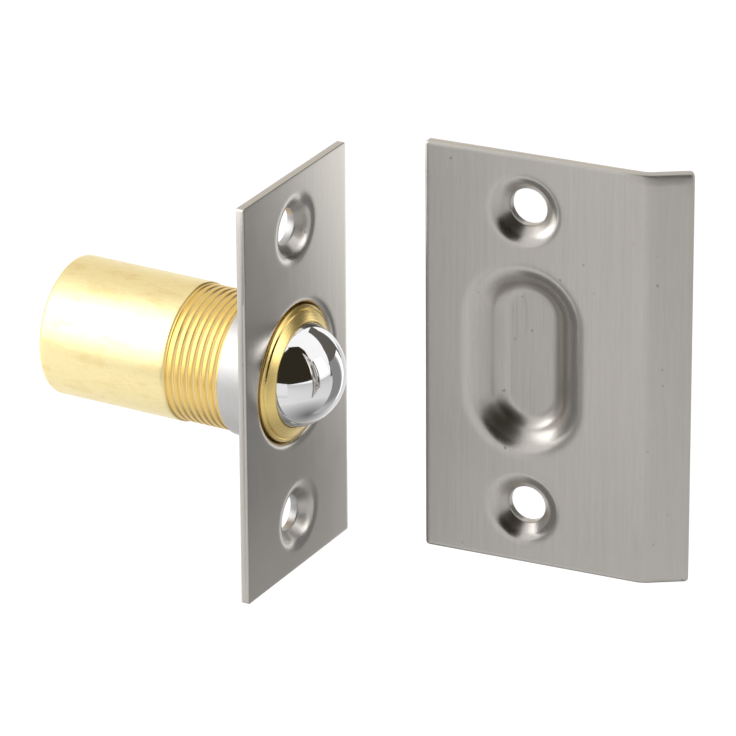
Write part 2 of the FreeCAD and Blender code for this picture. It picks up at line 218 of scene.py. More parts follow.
class Shader(Nodes):
    """A material's nodes, with its surface shader."""

    def __init__(self, name: str) -> None:
        """Makes the material."""
        self.material = bpy.data.materials.new(name)
        self.material.use_nodes = True
        super().__init__(self.material.node_tree)
        self.surface = self.node("ShaderNodeBsdfPrincipled", {}, {})
        self.node("ShaderNodeOutputMaterial", {}, {"Surface": self.surface.outputs[0]})

    def place(self) -> tuple[Socket, Value, Value, Value]:
        """The point on the surface, in millimetres.

        Returns:
            The point as a vector socket, and its x, y and z.
        """
        coords = self.node("ShaderNodeTexCoord", {}, {})
        point = self.scaled(coords.outputs["Object"], 1 / MM)
        parts = self.node("ShaderNodeSeparateXYZ", {}, {0: point})
        return (point, *(Value(self, socket) for socket in parts.outputs))

    def scaled(self, vector: Colour, amount: Number) -> Socket:
        """A vector or a colour times an amount; a colour may go beyond white."""
        inputs = {0: vector, "Scale": amount}
        return self.node("ShaderNodeVectorMath", {"operation": "SCALE"}, inputs).outputs[0]

    def noise(self, point: Socket, scale: float, detail: float) -> Value:
        """Soft random pattern about 0.5.

        Args:
            point: Where on the surface.
            scale: Blobs per millimetre.
            detail: Finer layers.

        Returns:
            The pattern's height.
        """
        return self.value("ShaderNodeTexNoise", {}, {"Vector": point, "Scale": scale, "Detail": detail})

    def streaks(self, point: Socket, lines: Point3, detail: float) -> Value:
        """Random pattern that runs along an axis.

        Args:
            point: Where on the surface.
            lines: Blobs per millimetre along x, y and z; the pattern runs along the smallest.
            detail: Finer layers.

        Returns:
            The pattern's height.
        """
        stretched = self.node("ShaderNodeVectorMath", {"operation": "MULTIPLY"}, {0: point, 1: lines})
        return self.noise(stretched.outputs[0], 1.0, detail)

    def mix(self, amount: Value, low: Colour, high: Colour) -> Socket:
        """Blend of two colours by an amount; either colour may be a socket."""
        return self.node("ShaderNodeMix", {"data_type": "RGBA"}, {0: amount, 6: low, 7: high}).outputs[2]

    def feed(self, name: str, given: Union[Value, Colour, float]) -> None:
        """Sets or links one socket of the surface shader."""
        self.give(self.surface.inputs[name], given)

    def metal(self, colour: Colour, roughness: Value, height: Value, depth: float) -> Material:
        """Makes the surface bare metal.

        Args:
            colour: The metal's colour.
            roughness: Its roughness.
            height: Relief of its surface, about 0 to 1.
            depth: What a height of 1 stands for, in millimetres.

        Returns:
            The material.
        """
        self.feed("Base Color", colour)
        self.feed("Metallic", 1.0)
        self.feed("Roughness", roughness)
        inputs = {"Height": height, "Distance": depth * MM, "Strength": 1.0}
        self.feed("Normal", self.node("ShaderNodeBump", {}, inputs).outputs[0])
        return self.material

    def paper(self, grey: float, roughness: float, gloss: float, glow: Colour) -> Material:
        """Makes the surface dull paper that also glows by itself.

        Args:
            grey: How light the paper is.
            roughness: Its roughness.
            gloss: Its specular level.
            glow: Colour that it gives off.

        Returns:
            The material.
        """
        self.feed("Base Color", (grey, grey, grey, 1.0))
        self.feed("Roughness", roughness)
        self.feed("Specular IOR Level", gloss)
        self.feed("Emission Color", glow)
        self.feed("Emission Strength", 1.0)
        return self.material


def rgba(colour: Point3, factor: float = 1.0) -> tuple[float, float, float, float]:
    """Linear colour with alpha, made lighter or darker by a factor."""
    return (*(part * factor for part in colour), 1.0)


@dataclass(frozen=True)
class SatinNickel:
    """Satin nickel plating on a stamped plate, with a bare steel collar."""

    name: str = "satin_nickel"
    colour: Point3 = (0.55, 0.522, 0.485)
    bare: Point3 = (0.55, 0.54, 0.53)
    roughness: float = 0.21
    pressed_duller: float = 0.1
    end_duller: float = 0.25
    bare_roughness: float = 0.42
    relief: float = 0.0018
    fine_lines: Point3 = (9.0, 9.0, 0.3)
    wide_lines: Point3 = (2.2, 2.2, 0.05)
    die_lines: Point3 = (3.0, 3.0, 0.09)
    drawn_lines: Point3 = (0.3, 7.0, 0.3)
    collar_from: Point2 = (1.25, 1.5)
    lip_from: Point2 = (-49.0, -52.5)
    lip_end: Point2 = (38.4, 39.4)
    dish_from: Point2 = (-29.0, -31.0)
    dish_to: Point2 = (-45.0, -43.0)
    dish_floor: Point2 = (2.62, 2.68)
    pressed_from: Point2 = (0.2, 0.8)
    pressed_back: Point2 = (0.2, 0.6)
    scored_from: Point2 = (0.56, 0.68)
    specks_from: Point2 = (0.845, 0.875)

    def pressed(self, east: Value, along: Value) -> tuple[Value, Value]:
        """Where the metal is pressed in.

        Args:
            east: The surface's x.
            along: The surface's y.

        Returns:
            A mask of all that is pressed in, and one of the floor of the strike's dish.
        """
        sunk = (east - STRIKE_AT[0]) * math.cos(STRIKE_TURN) + (along - STRIKE_AT[1]) * math.sin(STRIKE_TURN)
        dished = along.between(*self.dish_from) * along.between(*self.dish_to)
        dull = sunk.between(*self.pressed_from) * dished + along.between(*self.pressed_back)
        return dull.between(0.0, 1.0), sunk.between(*self.dish_floor) * dished

    def make(self) -> Material:
        """Builds the finish: vertical brushing, cloudy plating, specks, die marks in the dish's floor.

        Returns:
            The material.
        """
        shader = Shader(self.name)
        point, east, along, up = shader.place()
        collar = along.between(*self.collar_from)
        lip_end = up.between(*self.lip_end) * along.between(*self.lip_from)
        dull, floor = self.pressed(east, along)
        brushed = shader.streaks(point, self.fine_lines, 3.0)
        wide = shader.streaks(point, self.wide_lines, 3.0)
        scored = shader.streaks(point, self.die_lines, 4.0).between(*self.scored_from) * floor
        drawn = shader.streaks(point, self.drawn_lines, 3.0)
        cloud = shader.noise(point, 0.09, 3.0)
        grain = shader.noise(point, 14.0, 1.0)
        specks = shader.noise(point, 1.4, 0.0).between(*self.specks_from)
        tone = 0.82 + cloud * 0.1 + brushed * 0.15 + wide * 0.1 + grain * 0.03 - scored * 0.12
        plated = shader.mix(tone.between(0.9, 1.1), rgba(self.colour, 0.93), rgba(self.colour, 1.07))
        plated = shader.mix(specks * 0.5, plated, rgba(self.colour, 0.35))
        bare = shader.mix(drawn, rgba(self.bare, 0.94), rgba(self.bare, 1.06))
        satin = self.roughness - 0.05 + cloud * 0.06 + brushed * 0.06
        satin = satin + dull * self.pressed_duller + lip_end * self.end_duller
        satin = satin + collar * (self.bare_roughness - self.roughness - self.pressed_duller)
        height = (brushed + grain * 0.3 - scored * 2.0) * (1 - collar) + drawn * collar * 1.5
        return shader.metal(shader.mix(collar, plated, bare), satin, height, self.relief)


@dataclass(frozen=True)
class TurnedBrass:
    """Drawn and turned brass, pale where it is smooth. On the thread a darker gold is painted shade, and a
    paler colour in its grooves is a painted highlight.
    """

    name: str = "turned_brass"
    pale: Point3 = (0.98, 0.84, 0.46)
    # The thread's darker gold is painted shade; the paler colour in its grooves is a painted highlight.
    thread_shade_gold: Point3 = (0.86, 0.60, 0.19)
    bright: Point3 = (1.0, 0.90, 0.58)
    stain: Point3 = (0.84, 0.63, 0.27)
    ring: Point3 = (0.95, 0.72, 0.28)
    roughness: float = 0.24
    relief: float = 0.004
    crest: float = 8.9
    depth: float = 0.2
    rear_from: Point2 = (14.1, 14.4)
    nose_from: Point2 = (0.5, 0.3)
    grain_lines: Point3 = (4.0, 0.7, 4.0)
    stain_lines: Point3 = (0.6, 0.25, 0.6)
    turned_lines: Point3 = (0.02, 9.0, 0.02)

    def make(self) -> Material:
        """Builds the finish: long-wise grain and stains behind, a thread painted a darker gold as shade with
        painted highlight lines in its grooves, rings.

        Returns:
            The material.
        """
        shader = Shader(self.name)
        point, east, along, up = shader.place()
        distance = length((east, up))
        from_axis = shader.node("ShaderNodeCombineXYZ", {}, {0: distance}).outputs[0]
        rings = shader.noise(from_axis, 6.0, 2.0)
        grain = shader.streaks(point, self.grain_lines, 4.0)
        mottle = shader.noise(point, 2.2, 3.0)
        stains = shader.streaks(point, self.stain_lines, 5.0)
        turning = shader.streaks(point, self.turned_lines, 1.0)
        groove = distance.between(self.crest - self.depth * 0.5, self.crest - self.depth)
        rear = along.between(*self.rear_from)
        nose = along.between(*self.nose_from)
        worn = stains.between(0.45, 0.75) * 0.5 + (grain - 0.45) * 0.6 + (mottle - 0.45) * 0.5
        stained = shader.mix(worn.between(0.0, 1.0, False), rgba(self.pale), rgba(self.stain))
        # Painted shade and painted highlight on the thread: darker gold on the crests, a pale line in each
        # groove.
        thread_shade_and_highlight = shader.mix(groove, rgba(self.thread_shade_gold), rgba(self.bright))
        turned = shader.mix(nose, thread_shade_and_highlight, rgba(self.ring))
        roughness = self.roughness + grain * 0.12 + mottle * 0.06 - nose * 0.08
        height = grain * rear + turning * (1 - rear) * 0.5 + rings * nose * 3.0
        return shader.metal(shader.mix(rear, turned, stained), roughness, height, self.relief)


@dataclass(frozen=True)
class BarePart:
    """Plain metal of the inner pieces, with a fine turned or drawn grain."""

    name: str
    colour: Point3
    roughness: float = 0.3
    relief: float = 0.004

    def make(self) -> Material:
        """Builds the finish.

        Returns:
            The material.
        """
        shader = Shader(self.name)
        point, east, _, up = shader.place()
        turned = (length((east, up)) * 9.0 + shader.noise(point, 0.1, 1.0) * 3.0).sine()
        blotch = shader.noise(point, 0.5, 3.0)
        colour = shader.mix(blotch, rgba(self.colour, 0.86), rgba(self.colour, 1.06))
        return shader.metal(colour, self.roughness + blotch * 0.1, turned * 0.5 + 0.5, self.relief)


@dataclass(frozen=True)
class PolishedSteel:
    """Mirror-bright steel of the ball."""

    name: str = "polished_ball"
    colour: Point3 = (0.93, 0.925, 0.93)
    roughness: float = 0.035
    relief: float = 0.0002
    scuff_lines: Point3 = (6.0, 0.8, 2.0)

    def make(self) -> Material:
        """Builds the finish: a mirror with hair-fine scuffs.

        Returns:
            The material.
        """
        shader = Shader(self.name)
        point, _, _, _ = shader.place()
        scuffs = shader.streaks(point, self.scuff_lines, 3.0)
        haze = shader.noise(point, 0.35, 2.0)
        colour = shader.mix(haze, rgba(self.colour, 0.96), rgba(self.colour, 1.03))
        roughness = self.roughness + scuffs.between(0.62, 0.8) * 0.05 + haze * 0.015
        return shader.metal(colour, roughness, scuffs, self.relief)


# ---------------------------------------------------------------- mesh drafts


class Draft:
    """A mesh under construction, in millimetres."""

    def __init__(self) -> None:
        """Starts empty."""
        self.points: list[Point3] = []
        self.faces: list[tuple[int, ...]] = []

    def loop(self, points: Sequence[Point3]) -> list[int]:
        """Adds points.

        Args:
            points: Their places.

        Returns:
            Their numbers.
        """
        first = len(self.points)
        self.points.extend(points)
        return list(range(first, len(self.points)))

    def ring(self, along: float, radius: float, around: int) -> list[int]:
        """Adds a ring about the ball's axis.

        Args:
            along: Its place along the axis.
            radius: Its radius.
            around: Number of its points.

        Returns:
            The numbers of its points.
        """
        angles = [TURN * step / around for step in range(around)]
        return self.loop([(radius * math.cos(a), along, radius * math.sin(a)) for a in angles])

    def band(self, one: Sequence[int], other: Sequence[int]) -> None:
        """Joins two closed loops of equal length with quads.

        Args:
            one: The points of the first loop.
            other: The points of the second.
        """
        count = len(one)
        for here in range(count):
            there = (here + 1) % count
            self.faces.append((one[here], one[there], other[there], other[here]))

    def skin(self, loops: Sequence[Sequence[int]]) -> None:
        """Joins each closed loop to the next one."""
        for here, there in zip(loops, loops[1:]):
            self.band(here, there)

    def cap(self, loop: Sequence[int]) -> None:
        """Fills a flat loop with one face."""
        self.faces.append(tuple(loop))

    def piece(self, name: str, material: Material, sharp: float = 40.0) -> Item:
        """Makes the object.

        Args:
            name: The piece's name.
            material: Its material.
            sharp: Edges that turn by more degrees than this stay sharp.

        Returns:
            The object, in metres, in the model's frame.
        """
        mesh = bpy.data.meshes.new(name)
        draft = bmesh.new()
        spots = [draft.verts.new(Vector(point) * MM) for point in self.points]
        for face in self.faces:
            draft.faces.new([spots[index] for index in face])
        bmesh.ops.remove_doubles(draft, verts=draft.verts, dist=WELD)
        bmesh.ops.dissolve_degenerate(draft, edges=draft.edges, dist=WELD)
        bmesh.ops.recalc_face_normals(draft, faces=draft.faces)
        draft.to_mesh(mesh)
        draft.free()
        mesh.shade_smooth()
        mesh.set_sharp_from_angle(angle=math.radians(sharp))
        mesh.materials.append(material)
        piece = bpy.data.objects.new(name, mesh)
        bpy.context.collection.objects.link(piece)
        return piece


def arc(centre: Point2, radius: float, start: float, end: float, count: int) -> list[Point2]:
    """Points along an arc.

    Args:
        centre: Its centre.
        radius: Its radius.
        start: First angle in degrees.
        end: Last angle in degrees.
        count: Number of parts.

    Returns:
        The points, ends included.
    """
    angles = [math.radians(start + (end - start) * step / count) for step in range(count + 1)]
    return [(centre[0] + radius * math.cos(a), centre[1] + radius * math.sin(a)) for a in angles]


def steps(degrees: float, count: int) -> list[float]:
    """Angles in radians from 0 to a number of degrees, ends included."""
    return [math.radians(degrees * step / count) for step in range(count + 1)]


def lathe(profile: Sequence[Point2], around: int) -> Draft:
    """Turns a closed section about the ball's axis.

    Args:
        profile: Corners as (place along the axis, radius); a radius of 0 closes at the axis.
        around: Number of columns.

    Returns:
        The draft.
    """
    draft = Draft()
    loops = [draft.ring(along, radius, around) for along, radius in profile]
    draft.skin(loops)
    if profile[0][1] > 0:
        draft.band(loops[-1], loops[0])
    return draft


# ---------------------------------------------------------------- plates


@dataclass
class Hollow:
    """A pressed hollow or collar in a plate.

    The section runs from the plate's front to its back as (distance out, depth). A hollow
    without an opening has its floor between front and back.
    """

    centre: Point2
    section: list[Point2]
    back: list[Point2] = field(default_factory=list)
    straight: float = 0.0
    around: int = 96

    def outline(self, distance: float) -> list[Point2]:
        """The hollow's outline.

        Args:
            distance: How far out from its middle or middle line.

        Returns:
            The outline's points on the plate.
        """
        points = []
        half = self.around // 2
        for side in (1, -1):
            for step in range(half + (1 if self.straight else 0)):
                angle = math.pi * step / half + (0 if side > 0 else math.pi)
                x, y = self.centre[0] + distance * math.cos(angle), self.centre[1] + distance * math.sin(angle)
                points.append((x, y + side * self.straight))
        return points

    def holds(self, x: float, y: float, distance: float) -> bool:
        """Tells whether a point of the plate lies near the hollow's middle line.

        Args:
            x: The point's place across the plate.
            y: Its place up the plate.
            distance: How near.

        Returns:
            Whether it lies within the distance.
        """
        across = x - self.centre[0]
        off = abs(y - self.centre[1]) - self.straight
        return math.hypot(across, max(off, 0.0)) < distance


@dataclass
class Plate:
    """A stamped plate: outline with rounded corners and edges, and hollows pressed into it.

    Columns and rows of points carry the flat faces; they keep a margin from the sides and spare
    room round the hollows. The steps are loops of points just inside the rounded edges.
    """

    low: Point2
    high: Point2
    thick: float
    corner: float
    edge: float
    hollows: list[Hollow]
    columns: Sequence[float]
    back_edge: float = 0.1
    front_steps: tuple[float, ...] = (1.2, 0.9, 0.6, 0.35)
    back_step: float = 0.35
    rows: int = 24
    row_margin: float = 1.0
    margin: float = 1.8
    spare: float = 0.7
    least_corner: float = 0.02
    corner_parts: int = 8
    tolerance: float = 1e-7

    def outline(self, inset: float) -> list[Point2]:
        """The plate's outline moved in, with matching points at every inset.

        Args:
            inset: How far it is moved in.

        Returns:
            The outline's points on the plate.
        """
        swing, parts = max(self.corner - inset, self.least_corner), self.corner_parts
        reach = inset + swing
        left, right = self.low[0] + reach, self.high[0] - reach
        bottom, top = self.low[1] + reach, self.high[1] - reach
        columns = [place for place in self.columns if self.inside(place)]
        start, end = self.low[1] + self.row_margin, self.high[1] - self.row_margin
        rows = [start + (end - start) * step / self.rows for step in range(1, self.rows)]
        points = arc((left, bottom), swing, 180, 270, parts)
        points += [(place, self.low[1] + inset) for place in columns]
        points += arc((right, bottom), swing, 270, 360, parts)
        points += [(self.high[0] - inset, place) for place in rows]
        points += arc((right, top), swing, 0, 90, parts)
        points += [(place, self.high[1] - inset) for place in reversed(columns)]
        points += arc((left, top), swing, 90, 180, parts)
        points += [(self.low[0] + inset, place) for place in reversed(rows)]
        return points

    def inside(self, column: float) -> bool:
        """Whether a column of points lies clear of the plate's sides."""
        return self.low[0] + self.margin < column < self.high[0] - self.margin

    def sheet(
        self, draft: Draft, put: Place, depth: float, rim: list[int], inset: float, which: int
    ) -> None:
        """Fills one side of the plate between its rim and its hollows.

        Args:
            draft: The draft to add to.
            put: Takes a point of the plate and its depth to its place.
            depth: Depth of this side.
            rim: The rim's points in the draft.
            inset: How far in from the plate's outline the rim lies.
            which: 0 for the front, -1 for the back: the end of each section that is met.
        """
        flat = [Vector(point) for point in self.outline(inset)]
        known = list(rim)
        edges = [(index, (index + 1) % len(flat)) for index in range(len(flat))]
        reaches = []
        for hollow in self.hollows:
            section = hollow.back if which and hollow.back else hollow.section
            reach = section[which][0]
            reaches.append(reach)
            ring = hollow.outline(reach)
            first = len(flat)
            flat += [Vector(point) for point in ring]
            known += draft.loop([put(*point, depth) for point in ring])
            edges += [(first + index, first + (index + 1) % len(ring)) for index in range(len(ring))]
        step = (self.high[1] - self.low[1]) / self.rows
        for column in filter(self.inside, self.columns):
            for row in range(1, self.rows):
                spot = (column, self.low[1] + step * row)
                if not any(h.holds(*spot, reach + self.spare) for h, reach in zip(self.hollows, reaches)):
                    flat.append(Vector(spot))
                    known += draft.loop([put(*spot, depth)])
        spots, _, faces, origins, _, _ = delaunay_2d_cdt(flat, edges, [], 0, self.tolerance)
        for face in faces:
            x = sum(spots[index][0] for index in face) / 3
            y = sum(spots[index][1] for index in face) / 3
            if any(h.holds(x, y, reach) for h, reach in zip(self.hollows, reaches)):
                continue
            draft.faces.append(tuple(known[origins[index][0]] for index in face))

    def draft(self, put: Place) -> Draft:
        """Builds the plate.

        Args:
            put: Takes a point of the plate and its depth to its place in the model's frame.

        Returns:
            The draft.
        """
        draft = Draft()
        front = [(self.edge + step, 0.0) for step in self.front_steps]
        front += [(self.edge - dx, self.edge - dy) for dx, dy in arc((0, 0), self.edge, 90, 0, 5)]
        back_at = self.thick - self.back_edge
        back = [(self.back_edge - dx, back_at + dy) for dx, dy in arc((0, 0), self.back_edge, 0, 90, 3)]
        back += [(self.back_edge + self.back_step, self.thick)]
        loops = []
        for inset, depth in front + back:
            loops.append(draft.loop([put(x, y, depth) for x, y in self.outline(inset)]))
        draft.skin(loops)
        self.sheet(draft, put, 0.0, loops[0], front[0][0], 0)
        self.sheet(draft, put, self.thick, loops[-1], back[-1][0], -1)
        for hollow in self.hollows:
            for section in (hollow.section, hollow.back):
                rings = []
                for out, depth in section:
                    rings.append(draft.loop([put(x, y, depth) for x, y in hollow.outline(out)]))
                draft.skin(rings)
                if hollow.back:
                    draft.cap(rings[-1] if section is hollow.section else rings[0])
        return draft


@dataclass
class Stamping:
    """Sizes that both plates share, and the screw dimple pressed into them.

    The seam is the flat ring round a hollow, up to which the flat faces reach. The ease rounds the
    hole's front edge, and the burr breaks its back edge.
    """

    thick: float = 1.1
    high: float = 54.0
    corner: float = 0.3
    edge: float = 0.1
    screw_up: float = 19.8
    hole: float = 2.4
    dimple: float = 5.0
    slope: float = 44.0
    roll: float = 2.6
    seam: float = 0.4
    ease: float = 0.12
    burr: float = 0.05

    def dimple_section(self) -> list[Point2]:
        """Section of a dimple for a countersunk screw.

        Returns:
            Its points from front to back, as (distance out, depth).
        """
        roll, inner = self.roll, self.roll - self.thick
        rise = math.tan(math.radians(self.slope))
        front = [(self.dimple - roll * math.sin(a), roll * (1 - math.cos(a))) for a in steps(self.slope, 8)]
        drop = front[-1][1] + (front[-1][0] - self.hole) * rise
        back = [(self.dimple - inner * math.sin(a), roll - inner * math.cos(a)) for a in steps(self.slope, 6)]
        end = drop + self.thick
        foot = back[-1][0] - (end - back[-1][1]) / rise
        section = [(self.dimple + self.seam, 0.0)] + front
        section += [(self.hole + self.ease, drop - self.ease * 0.7), (self.hole + self.ease / 4, drop)]
        section += [(self.hole, drop + self.ease), (self.hole, end - self.burr), (self.hole + self.burr, end)]
        return section + [(foot, end)] + back[::-1] + [(self.dimple + self.seam, self.thick)]

    def plate(self, sides: Point2, screws: float, hollow: Hollow, columns: list[float]) -> Plate:
        """The plate with its screw dimples and one more hollow.

        Args:
            sides: Where its sides lie across.
            screws: Where its screw dimples lie across.
            hollow: The other hollow.
            columns: Where its columns of points lie across.

        Returns:
            The plate.
        """
        dimple, (left, right) = self.dimple_section(), sides
        hollows = [Hollow((screws, side * self.screw_up), dimple) for side in (1, -1)] + [hollow]
        low, high = (left, -self.high / 2), (right, self.high / 2)
        return Plate(low, high, self.thick, self.corner, self.edge, hollows, columns)


@dataclass
class Faceplate(Stamping):
    """Faceplate with the collar drawn out of its back."""

    wide: float = 25.5
    bore: float = 8.95
    wall: float = 0.25
    end: float = 6.4
    mouth: float = 1.1
    root: float = 0.4
    columns: int = 12
    around: int = 160

    def collar_section(self) -> list[Point2]:
        """Section of the collar.

        Returns:
            Its points from the front face through the bore and back outside.
        """
        outer = self.bore + self.wall
        seam = max(self.bore + self.mouth, outer + self.root) + self.seam
        tip = self.wall / 2
        section = [(seam, 0.0)]
        section += arc((self.bore + self.mouth, self.mouth), self.mouth, -90, -180, 10)
        section += arc((self.bore + tip, self.end - tip), tip, 180, 0, 8)
        section += arc((outer + self.root, self.thick + self.root), self.root, 180, 270, 6)
        section += [(seam, self.thick)]
        return section

    def build(self, finish: Material) -> Item:
        """Builds the faceplate, its front in the frame's XZ plane.

        Args:
            finish: Its material.

        Returns:
            The dressed piece.
        """
        collar = Hollow((0.0, 0.0), self.collar_section(), around=self.around)
        columns = [self.wide * (step / self.columns - 0.5) for step in range(1, self.columns)]
        plate = self.plate((-self.wide / 2, self.wide / 2), 0.0, collar, columns)
        return plate.draft(lambda x, y, depth: (x, depth, y)).piece("faceplate_dressed", finish)


@dataclass
class StrikePlate(Stamping):
    """Strike plate with its dish and its bent lip."""

    flat: float = 29.2
    lip: float = 5.4
    lip_slope: float = 28.4
    bend: float = 4.5
    corner: float = 0.5
    edge: float = 0.3
    hole_in: float = 13.0
    dish: float = 8.13
    straight: float = 5.05
    deep: float = 2.7
    dish_slope: float = 52.0
    dish_roll: float = 4.2
    dish_bend: float = 2.4
    curl: float = 0.24
    curl_wide: float = 1.8
    dish_middle: float = 0.5
    flat_columns: int = 20
    bend_columns: int = 14
    lip_column: float = 1.2

    def unrolled(self) -> tuple[float, float, float]:
        """Main distances along the unrolled strike.

        Returns:
            Where the bend starts, where it ends, and where the lip ends.
        """
        turn = math.radians(self.lip_slope)
        cut = self.bend * math.tan(turn / 2)
        start = self.flat - cut
        end = start + self.bend * turn
        return start, end, end + self.lip - cut

    def dish_sections(self) -> tuple[list[Point2], list[Point2]]:
        """Sections of the dish.

        Returns:
            Its front section, which runs inwards, and its back section, which runs outwards.
        """
        slope = math.radians(self.dish_slope)
        roll, bend = self.dish_roll, self.dish_bend
        high = roll * (1 - math.cos(slope))
        low = self.deep - bend * (1 - math.cos(slope))
        foot = self.dish - roll * math.sin(slope) - (low - high) / math.tan(slope)
        floor = foot - bend * math.sin(slope)
        turn = steps(self.dish_slope, 10)
        rolled, bent = roll - self.thick, bend + self.thick
        front = [(self.dish + self.seam, 0.0)]
        front += [(self.dish - roll * math.sin(a), roll * (1 - math.cos(a))) for a in turn]
        front += [(floor + bend * math.sin(a), self.deep - bend * (1 - math.cos(a))) for a in turn[::-1]]
        front += [(floor - self.dish_middle, self.deep)]
        back = [(floor - self.dish_middle, self.deep + self.thick)]
        back += [(floor + bent * math.sin(a), self.deep - bend + bent * math.cos(a)) for a in turn]
        back += [(self.dish - rolled * math.sin(a), roll - rolled * math.cos(a)) for a in turn[::-1]]
        back += [(self.dish + self.seam, self.thick)]
        return front, back

    def put(self, along: float, up: float, depth: float) -> Point3:
        """Place of a point of the unrolled strike in the model's frame.

        Args:
            along: Its distance from the strike's free edge, round the bend.
            up: Its height over the strike's middle.
            depth: Its depth behind the front face.

        Returns:
            The place.
        """
        turn = math.radians(self.lip_slope)
        start, end, _ = self.unrolled()
        angle = min(max((along - start) / self.bend, 0.0), turn)
        near_end = max(abs(up) - self.high / 2 + self.curl_wide, 0.0) / self.curl_wide
        depth += self.curl * near_end ** 2 * angle / turn
        rest = max(along - end, 0.0)
        radius = self.bend - depth
        u = min(along, start) + radius * math.sin(angle) + rest * math.cos(turn)
        v = self.bend - radius * math.cos(angle) + rest * math.sin(turn)
        aside = u * math.sin(STRIKE_TURN) + v * math.cos(STRIKE_TURN)
        ahead = u * math.cos(STRIKE_TURN) - v * math.sin(STRIKE_TURN)
        return (STRIKE_AT[0] + aside, STRIKE_AT[1] - ahead, STRIKE_AT[2] + up)

    def build(self, finish: Material) -> Item:
        """Builds the strike beside the catch, its front looking about towards -X.

        Args:
            finish: Its material.

        Returns:
            The dressed piece.
        """
        start, end, lip_end = self.unrolled()
        dish = Hollow((self.hole_in, 0.0), *self.dish_sections(), self.straight)
        columns = [start * step / self.flat_columns for step in range(1, self.flat_columns)]
        columns += [start + (end - start) * step / self.bend_columns for step in range(self.bend_columns + 1)]
        columns += [end + self.lip_column]
        plate = self.plate((0.0, lip_end), self.hole_in, dish, columns)
        return plate.draft(self.put).piece("strike_dressed", finish)


# ---------------------------------------------------------------- turned pieces


@dataclass
class Barrel:
    """Barrel: bevelled nose with a turned groove, helical thread, smooth rear part and bore.

    Sections are corners as (place along the axis, radius), each broken by a few hundredths.
    """

    gap: float = 0.08
    crest: float = 8.9
    smooth: float = 9.1
    shoulder: float = 14.3
    end: float = 32.8
    pitch: float = 1.0
    thread_deep: float = 0.2
    half_groove: float = 0.25
    run_in: Point2 = (0.7, 0.5)
    run_out: Point2 = (0.25, 0.35)
    nose: float = -0.9
    rim: float = 0.12
    land: float = 0.2
    ring_in: float = 0.4
    ring_wide: float = 0.25
    ring_sunk: Point2 = (0.13, -0.07)
    rear_round: float = 0.45
    rear_hole: float = 7.0
    rear_lip: float = 0.8
    plug_bore: float = 7.6
    thread_from: float = 0.1
    thread_short: float = 0.15
    around: int = 144
    rows: int = 14

    def thread_radius(self, along: float, turned: float) -> float:
        """Radius of the thread.

        Args:
            along: Place along the barrel.
            turned: Share of a turn about it.

        Returns:
            The radius there.
        """
        phase = (along / self.pitch - turned) % 1.0
        rise = min(abs(phase - 0.5) / self.half_groove, 1.0)
        run_in = min(max((along - self.run_in[0]) / self.run_in[1], 0.0), 1.0)
        run_out = min(max((self.shoulder - self.run_out[0] - along) / self.run_out[1], 0.0), 1.0)
        return self.crest - self.thread_deep * (1 - rise) * run_in * run_out

    def head(self) -> list[Point2]:
        """Section of the nose.

        Returns:
            Its corners, from the mouth that holds the ball out to the thread.
        """
        mouth = math.sqrt((BALL_R + self.gap) ** 2 - (BALL_AT - self.nose) ** 2)
        inner = mouth + self.land
        bevel = (self.rim - self.nose) / (self.crest - inner)
        ins = [self.ring_in + self.ring_wide * part for part in (1.0, 0.5, 0.0)]
        near, middle, far = [(self.rim - bevel * part, self.crest - part) for part in ins]
        head = [(self.nose + 0.04, mouth - 0.012), (self.nose, mouth + 0.05), (self.nose, inner - 0.06)]
        head += [(self.nose + 0.045, inner + 0.04), (near[0] - 0.02, near[1] - 0.03), near]
        head += [(middle[0] + self.ring_sunk[0], middle[1] + self.ring_sunk[1]), far]
        head += [(far[0] + 0.02, far[1] + 0.03), (self.rim - 0.05, self.crest - 0.09)]
        return head + [(self.rim + 0.02, self.crest - 0.02), (self.rim + self.thread_from, self.crest)]

    def tail(self) -> list[Point2]:
        """Section of all behind the thread.

        Returns:
            Its corners: smooth part, lip over the plug, and the bore back to the mouth.
        """
        bore, lip, swing = BALL_R + self.gap, self.end - self.rear_lip, self.rear_round
        tail = [(self.shoulder - self.thread_short, self.crest), (self.shoulder - 0.03, self.smooth - 0.03)]
        tail += [(self.shoulder + 0.05, self.smooth), (self.shoulder + 0.6, self.smooth)]
        tail += [(self.end - swing - 0.6, self.smooth)]
        tail += arc((self.end - swing, self.smooth - swing), swing, 90, 0, 6)
        tail += [(self.end, self.rear_hole + 0.06), (self.end - 0.06, self.rear_hole)]
        tail += [(lip, self.rear_hole), (lip, self.plug_bore)]
        tail += [(PLUG_FRONT, self.plug_bore), (PLUG_FRONT, bore), (BALL_AT, bore)]
        sweep = math.degrees(math.asin((BALL_AT - self.nose - 0.04) / bore))
        return tail + [(BALL_AT - bore * math.sin(a), bore * math.cos(a)) for a in steps(sweep, 6)[1:-1]]

    def build(self, finish: Material) -> Item:
        """Builds the barrel.

        Args:
            finish: Its material.

        Returns:
            The dressed piece.
        """
        draft = Draft()
        loops = [draft.ring(*corner, self.around) for corner in self.head()]
        low, high = self.rim + self.thread_from, self.shoulder - self.thread_short
        first = math.floor(low / self.pitch) - 1
        last = math.ceil(high / self.pitch) + 1
        for row in range((last - first) * self.rows + 1):
            points = []
            for turned in (step / self.around for step in range(self.around)):
                along = min(max((first + row / self.rows + turned) * self.pitch, low), high)
                radius = self.thread_radius(along, turned)
                points.append((radius * math.cos(TURN * turned), along, radius * math.sin(TURN * turned)))
            loops.append(draft.loop(points))
        loops += [draft.ring(*corner, self.around) for corner in self.tail()]
        draft.skin(loops + loops[:1])
        return draft.piece("barrel_dressed", finish, sharp=50.0)


